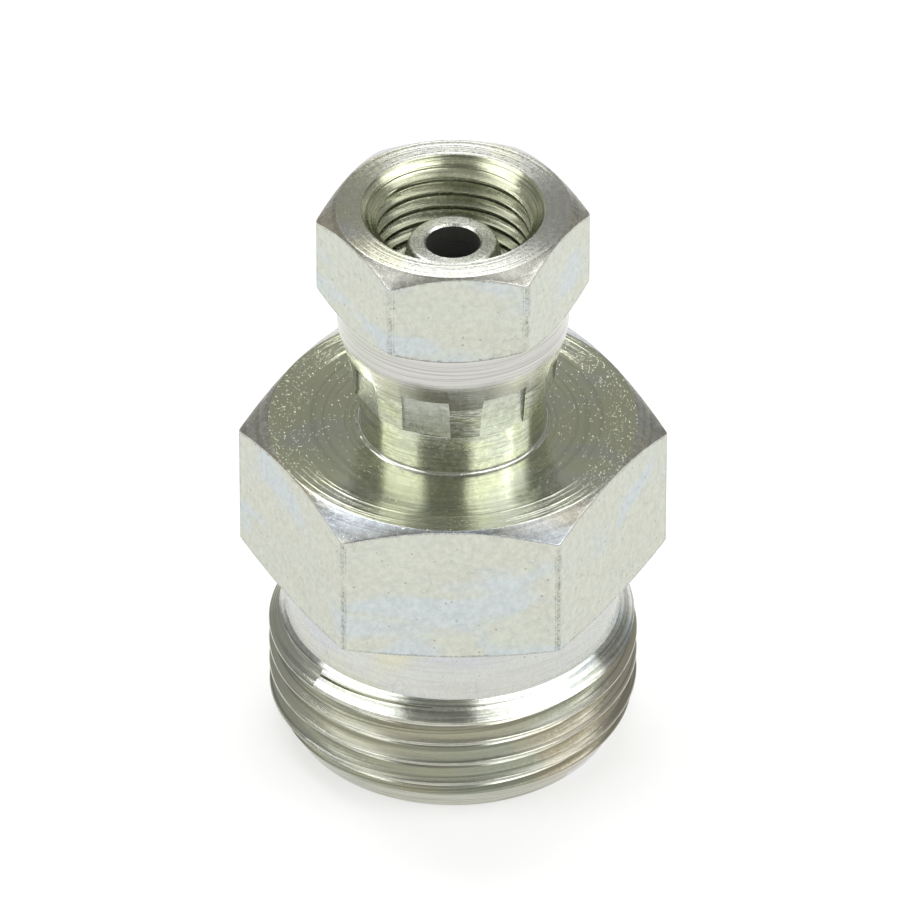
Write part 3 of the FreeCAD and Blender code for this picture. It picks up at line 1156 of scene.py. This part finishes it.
FINISHES = {
    "drawn": zinc(
        "drawn flats", (PALE, GREEN, BLUE), roughness=0.36, patches=330.0,
        facets=0.006, sparkle=1.0, pitted=0.9, mottle=0.08, edge=0.5,
    ),
    "faced": zinc(
        "faced", (OLIVE, PALE, OLIVE), roughness=0.18, rings=9000.0, depth=0.006, wander=0.02,
        facets=0.075, sparkle=0.11, shade=0.1, across=0.7, band=(10.1, 9.0),
    ),
    "chamfer": zinc(
        "chamfer", (DULL, BROWN, BLUISH), roughness=0.24, rings=9000.0, depth=0.008, wander=0.03,
        grains=7500.0, facets=0.05, sparkle=0.16, shade=0.18, mottle=0.14, patches=160.0,
    ),
    "nut face": zinc(
        "nut face", (CLEAR, CREAM, GREY), roughness=0.28, rings=11000.0, depth=0.055, wander=0.012,
        facets=0.02, sparkle=0.25, shade=0.06, across=0.8,
    ),
    "turned": zinc(
        "turned", (PALE, CREAM, GREY), roughness=0.14, rings=9000.0, depth=0.004, wander=0.02,
        facets=0.006, sparkle=0.1, shade=0.1, across=0.4,
    ),
    "start": zinc(
        "start chamfer", (PALE, GREY, BLUE), roughness=0.17, rings=10000.0, depth=0.012, wander=0.02,
        facets=0.015, sparkle=0.3, shade=0.4, mottle=0.12, across=0.4,
    ),
    "neck": zinc(
        "neck", (CLEAR, SKY, CREAM), roughness=0.25, rings=9000.0, depth=0.002, wander=0.05,
        mottle=0.03, pitted=0.2, shade=0.06, patches=150.0, across=0.2,
    ),
    "skirt": zinc(
        "skirt", (ROSE, PALE, ROSE), roughness=0.2, rings=20000.0, depth=0.007, wander=0.008,
        facets=0.004, sparkle=0.1, shade=0.22, across=0.5, patches=220.0,
    ),
    "rim": zinc(
        "pressed rim", (CLEAR, OLIVE, CLEAR), roughness=0.2, rings=12000.0, depth=0.02, wander=0.2,
        facets=0.04, sparkle=0.6, shade=0.25, mottle=0.16,
    ),
    "stem": zinc(
        "stem", (PALE, OLIVE, PALE), roughness=0.17, rings=12000.0, depth=0.006, wander=0.1,
        facets=0.04, sparkle=0.5, shade=0.2, mottle=0.12, across=0.5,
    ),
    "thread": zinc(
        "thread", (WARM, PALE, BROWN), roughness=0.2, rings=14000.0, depth=0.012, wander=0.015,
        lead=MALE_PITCH, facets=0.02, sparkle=0.25, shade=0.35, across=0.5,
    ),
    # The crests get a darker tint than the flanks: painted shade that dims their lamp highlights
    "crest": zinc(
        "crests", (CREST_SHADE, CREST_SHADE, CREST_SHADE), roughness=0.36, facets=0.02, sparkle=0.5, mottle=0.2,
    ),
    "tapped": zinc(
        "tapped", (OLIVE, BRASSY, OLIVE), roughness=0.23, rings=12000.0, depth=0.012, wander=0.03,
        lead=FEMALE_PITCH, facets=0.02, sparkle=0.3, shade=0.25, across=0.5,
    ),
    "sink": zinc(
        "sink", (BRASSY, OLIVE, BRASSY), roughness=0.2, rings=12000.0, depth=0.025, wander=0.02,
        facets=0.05, sparkle=0.4, shade=0.5, across=0.4,
    ),
    "nose": zinc(
        "nose", (CLEAR, PALE, CLEAR), roughness=0.28, rings=12000.0, depth=0.01, wander=0.03,
        grains=12000.0, facets=0.12, sparkle=0.8, shade=0.1, across=0.6,
    ),
    "pressed": zinc(
        "pressed flats", (SCUFFED, SCUFFED, SCUFFED), roughness=0.3, rings=16000.0, depth=0.006,
        wander=0.05, facets=0.003, sparkle=0.5, mottle=0.15, shade=0.2,
    ),
    "bore": dark_bore(),
}

finished(
    adapter_body(), "body", "adapter_body",
    body_zone, BODY_WORN_WIDTH, BODY_CORNER_WEAR,
)
finished(
    swivel_nut(), "nut", "swivel_nut",
    nut_zone, NUT_WORN_WIDTH, NUT_CORNER_WEAR,
)


# Camera, floor, lamps and surroundings

def direction(azimuth, elevation):
    """Direction from the part to a place round it; azimuth is measured from the front, -Y."""
    turn = math.radians(azimuth)
    rise = math.radians(elevation)
    return Vector((
        math.sin(turn) * math.cos(rise),
        -math.cos(turn) * math.cos(rise),
        math.sin(rise),
    ))


def camera():
    """Camera of the photograph, seen from the front and above."""
    data = bpy.data.cameras.new("camera")
    data.sensor_width = SENSOR_WIDTH
    data.lens = FOCAL_PIXELS * SENSOR_WIDTH / PHOTO_WIDTH
    data.clip_start = CAMERA_NEAREST * MM
    data.clip_end = CAMERA_FARTHEST * MM
    eye = bpy.data.objects.new("camera", data)
    bpy.context.scene.collection.objects.link(eye)
    azimuth = math.radians(CAMERA_AZIMUTH)
    target = Vector((
        CAMERA_TARGET_SIDE * math.cos(azimuth),
        CAMERA_TARGET_SIDE * math.sin(azimuth),
        CAMERA_TARGET_HEIGHT,
    )) * MM
    towards = direction(CAMERA_AZIMUTH, CAMERA_ELEVATION)
    eye.location = target + towards * CAMERA_DISTANCE * MM
    eye.rotation_euler = towards.to_track_quat("Z", "Y").to_euler()
    bpy.context.scene.camera = eye


def seen_rays(tree):
    """1 for rays that show the floor, straight, mirrored or refracted, and 0 for the rest."""
    rays = node(tree, "LightPath").outputs
    mirrored = maths(tree, "MAXIMUM", rays["Is Glossy Ray"], rays["Is Transmission Ray"])
    return maths(tree, "MAXIMUM", rays["Is Camera Ray"], mirrored)


def floor():
    """White floor that keeps the part's shadow."""
    bm = bmesh.new()
    bmesh.ops.create_grid(bm, x_segments=1, y_segments=1, size=FLOOR_REACH)
    ground = new_object("floor", bm)
    material = bpy.data.materials.new("white floor")
    material.use_nodes = True
    tree = material.node_tree
    shader = tree.nodes["Principled BSDF"].inputs
    shader["Base Color"].default_value = (FLOOR_GREY, FLOOR_GREY, FLOOR_GREY, 1)
    shader["Roughness"].default_value = 1
    shader["Specular IOR Level"].default_value = 0
    shader["Emission Color"].default_value = (1, 1, 1, 1)
    tree.links.new(maths(tree, "MULTIPLY", seen_rays(tree), FLOOR_GLOW), shader["Emission Strength"])
    ground.data.materials.append(material)


def lamp(name, azimuth, elevation, width, height, radiance):
    """Soft rectangular lamp, 1 m from the part, with its sides in metres."""
    data = bpy.data.lights.new(name, "AREA")
    data.shape = "RECTANGLE"
    data.size = width
    data.size_y = height
    data.energy = radiance * math.pi * width * height
    source = bpy.data.objects.new(name, data)
    bpy.context.scene.collection.objects.link(source)
    towards = direction(azimuth, elevation)
    source.location = towards + Vector((0, 0, LAMP_AIM_HEIGHT))
    source.rotation_euler = towards.to_track_quat("Z", "Y").to_euler()


def surroundings():
    """Pale room: white round the horizon except in front, grey above."""
    world = bpy.data.worlds.new("studio")
    bpy.context.scene.world = world
    world.use_nodes = True
    tree = world.node_tree
    background = tree.nodes["Background"].inputs
    way = node(tree, "SeparateXYZ", {0: node(tree, "TexCoord").outputs["Generated"]}).outputs
    above = remapped(tree, way[2], low=HORIZON_LOW, high=HORIZON_HIGH)
    in_front = remapped(tree, way[1], low=FRONT_FULL, high=FRONT_START, to_low=1.0, to_high=0.0)
    share = maths(tree, "MAXIMUM", above, in_front)
    tree.links.new(mixed(tree, share, (1, 1, 1, 1), (*ROOM, 1)), background["Color"])
    background["Strength"].default_value = 1


camera()
floor()
lamp("left lamp", azimuth=-68, elevation=40, width=0.8, height=0.55, radiance=2.3)
lamp("right lamp", azimuth=50, elevation=40, width=0.85, height=0.55, radiance=2.8)
lamp("side lamp", azimuth=88, elevation=38, width=0.5, height=0.5, radiance=2.1)
lamp("high lamp", azimuth=180, elevation=66, width=0.6, height=0.45, radiance=5.3)
lamp("back lamp", azimuth=-135, elevation=55, width=0.24, height=0.2, radiance=8.0)
lamp("left fill", azimuth=-101, elevation=66, width=0.42, height=0.34, radiance=0.75)
lamp("right fill", azimuth=101, elevation=66, width=0.42, height=0.34, radiance=0.85)
surroundings()
bpy.context.scene.view_settings.view_transform = "Standard"
